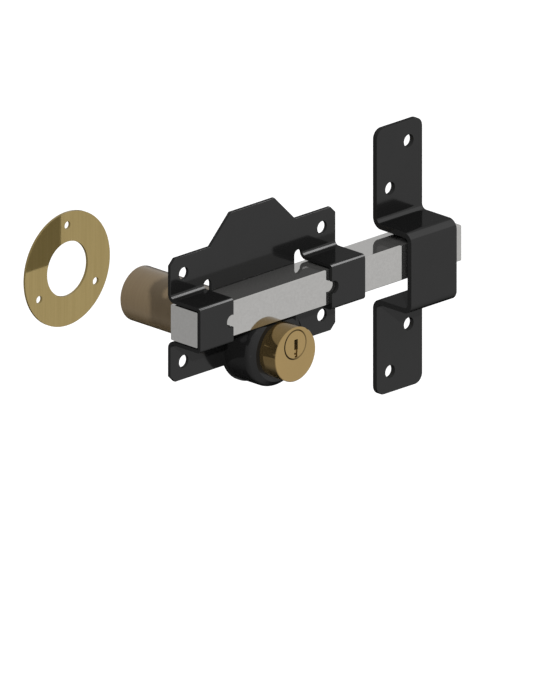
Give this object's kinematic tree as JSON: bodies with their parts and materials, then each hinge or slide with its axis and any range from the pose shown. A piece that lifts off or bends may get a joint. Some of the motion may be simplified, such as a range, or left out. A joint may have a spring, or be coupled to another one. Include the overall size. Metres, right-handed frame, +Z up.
{
  "type": "rim lock",
  "caption": "Surface-mounted gate lock: a square bolt slides through two pressed straps of a flat plate, worked by a key cylinder on each side, with its keep and rose.",
  "frame": {"origin": "the middle of the four fixing holes of the plate, on its back face", "axes": "+X along the bolt towards the keep, +Y along the outer barrel into the gate, +Z up"},
  "size_m": [0.1985, 0.1728, 0.1501],
  "materials": {
    "black_coat": "gloss black coat on steel",
    "bright_steel": "bright plated steel, dulled",
    "plain_steel": "plain turned and milled steel",
    "cylinder_brass": "turned brass",
    "plug_brass": "turned brass",
    "rose_brass": "polished brass",
    "pin_brass": "drawn brass rod"
  },
  "bodies": {
    "lock_case": {"back_plate": "black_coat", "cylinder_boss": "black_coat", "inner_cylinder": "cylinder_brass", "inner_driver_pins": "pin_brass", "inner_pin_springs": "plain_steel", "inner_chamber_plugs": "cylinder_brass", "inner_plug_retainer": "plain_steel", "cylinder_screws": "plain_steel", "outer_barrel": "cylinder_brass", "outer_driver_pins": "pin_brass", "outer_pin_springs": "plain_steel", "outer_chamber_plugs": "cylinder_brass", "outer_plug_retainer": "plain_steel", "barrel_screws": "plain_steel", "bolt_keep": "black_coat", "cylinder_rose": "rose_brass"},
    "sliding_bolt": {"bolt_bar": "bright_steel"},
    "turning_pinion": {"pinion": "plain_steel"},
    "turning_inner_plug": {"inner_plug": "plug_brass", "inner_key_pins": "pin_brass"},
    "turning_outer_plug": {"outer_plug": "plug_brass", "outer_key_pins": "pin_brass", "tail_bar": "plain_steel", "tail_pin": "plain_steel"}
  },
  "joints": [
    {"name": "bolt_slide", "type": "slide", "parent": "lock_case", "child": "sliding_bolt", "axis": [1, 0, 0], "range_m": [-0.0754, 0]},
    {"name": "pinion_spin", "type": "hinge", "parent": "lock_case", "child": "turning_pinion", "pos_m": [0, 0, -0.0204], "axis": [0, 1, 0], "range_deg": [-360, 0]},
    {"name": "inner_plug_turn", "type": "hinge", "parent": "lock_case", "child": "turning_inner_plug", "pos_m": [0, 0, -0.0204], "axis": [0, 1, 0], "range_deg": [-360, 0]},
    {"name": "outer_plug_turn", "type": "hinge", "parent": "lock_case", "child": "turning_outer_plug", "pos_m": [0, 0, -0.0204], "axis": [0, 1, 0], "range_deg": [-360, 0]}
  ],
  "couplings": [
    {"joint": "pinion_spin", "follows": "bolt_slide", "rad_per_m": 83.333},
    {"joint": "inner_plug_turn", "follows": "bolt_slide", "rad_per_m": 83.333},
    {"joint": "outer_plug_turn", "follows": "bolt_slide", "rad_per_m": 83.333}
  ]
}
